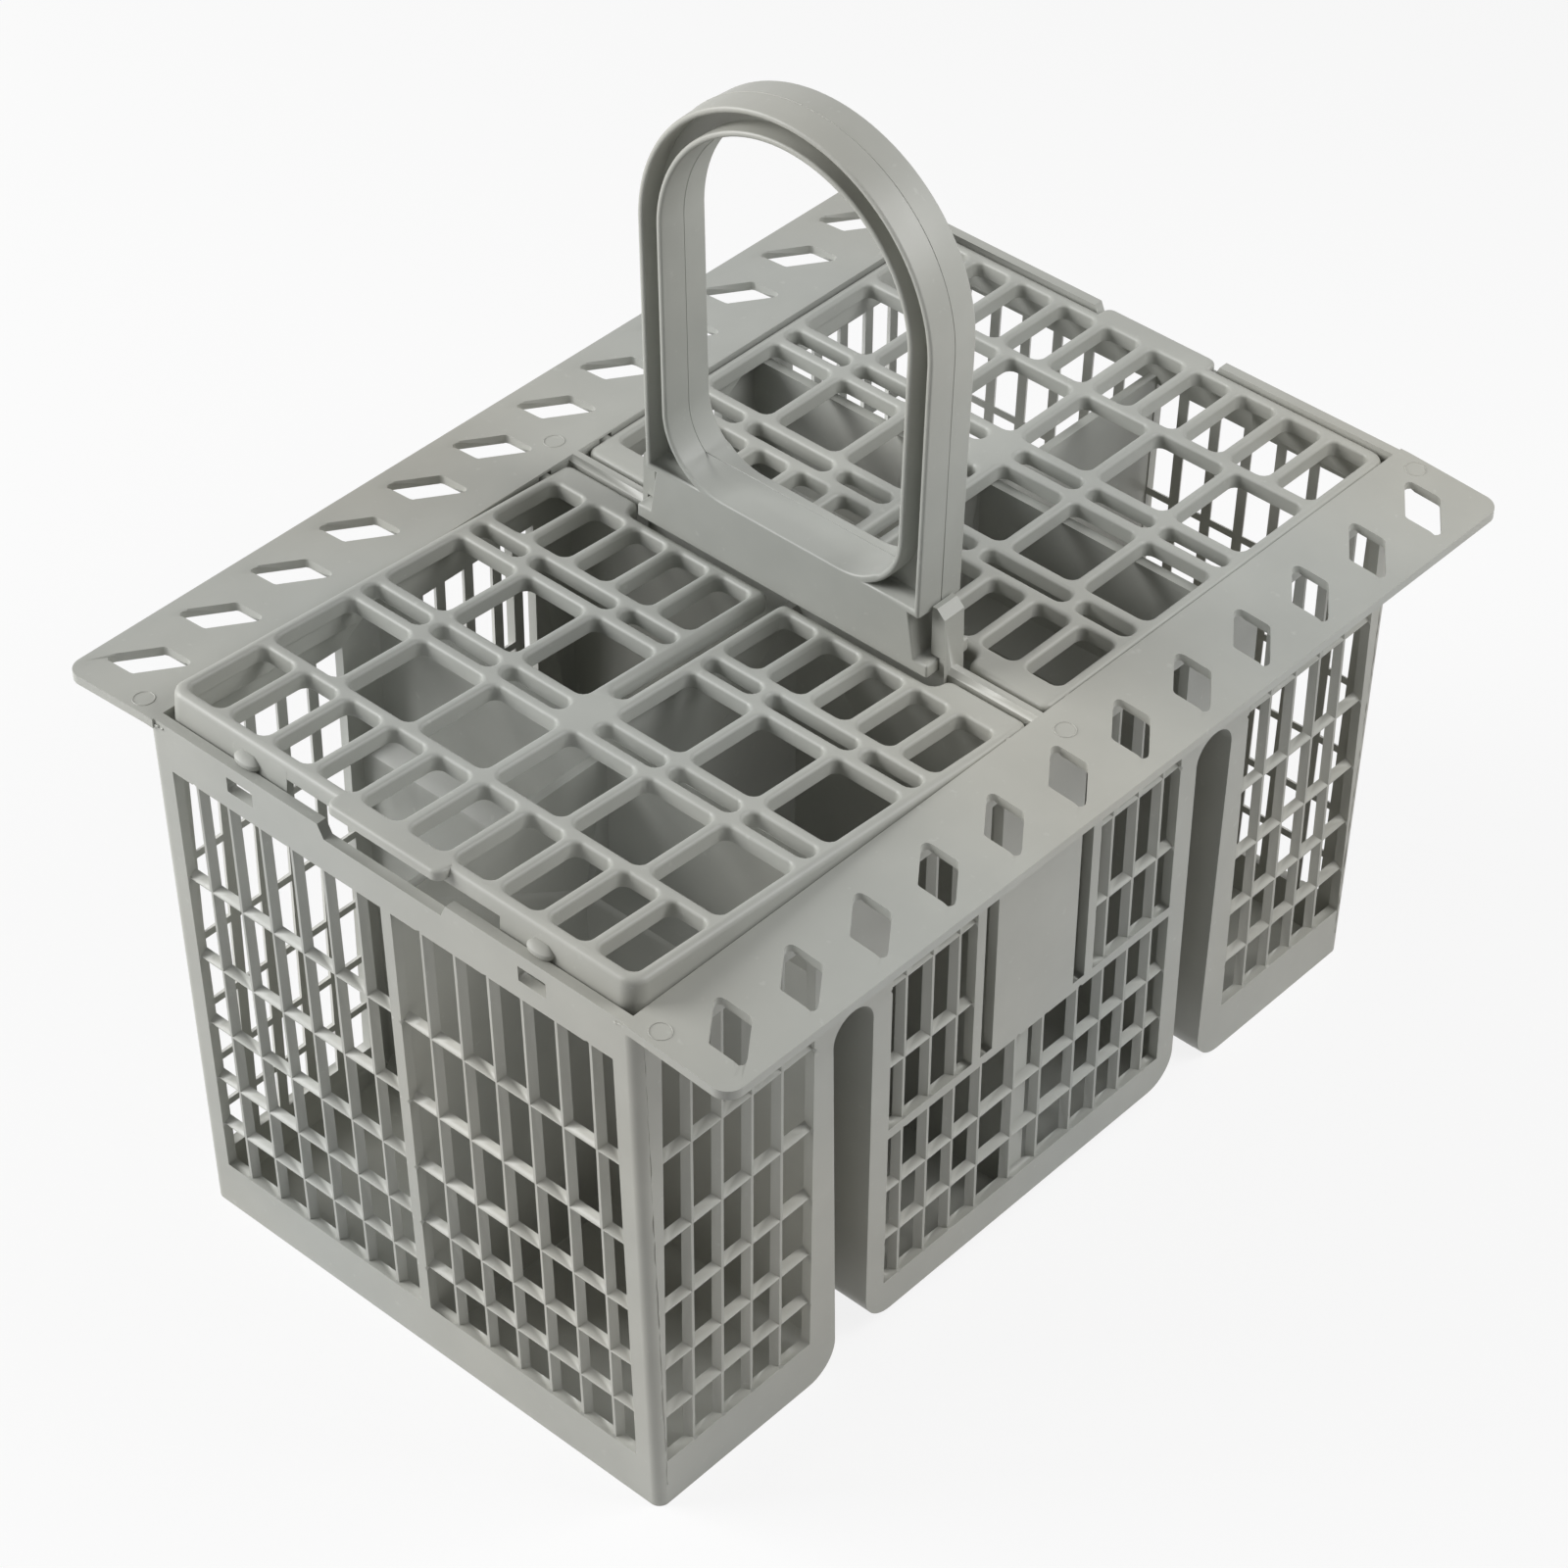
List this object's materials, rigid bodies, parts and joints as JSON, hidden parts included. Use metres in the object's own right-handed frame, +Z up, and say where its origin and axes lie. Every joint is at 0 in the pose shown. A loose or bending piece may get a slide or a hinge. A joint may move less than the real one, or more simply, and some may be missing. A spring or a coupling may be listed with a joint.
{
  "type": "dishwasher cutlery basket",
  "caption": "Open lattice cutlery basket for a dishwasher, parted into compartments, with slotted side wings, two hinged grid lids and a clipped-on arch handle.",
  "frame": {"origin": "centre of the footprint on the surface that the basket stands on", "axes": "+X across the basket, +Y along it from the front lid to the rear lid, +Z up"},
  "size_m": [0.181, 0.24, 0.2525],
  "materials": {
    "basket_plastic": "satin",
    "lid_plastic": "satin",
    "handle_plastic": "satin"
  },
  "bodies": {
    "basket": {"basket_body": "basket_plastic", "handle": "handle_plastic"},
    "front_lid": {"front_lid": "lid_plastic"},
    "rear_lid": {"rear_lid": "lid_plastic"}
  },
  "joints": [
    {"name": "front_lid_hinge", "type": "hinge", "parent": "basket", "child": "front_lid", "pos_m": [0, -0.0092, 0.1365], "axis": [-1, 0, 0], "range_deg": [0, 81]},
    {"name": "rear_lid_hinge", "type": "hinge", "parent": "basket", "child": "rear_lid", "pos_m": [0, 0.0092, 0.1365], "axis": [1, 0, 0], "range_deg": [0, 85]}
  ]
}
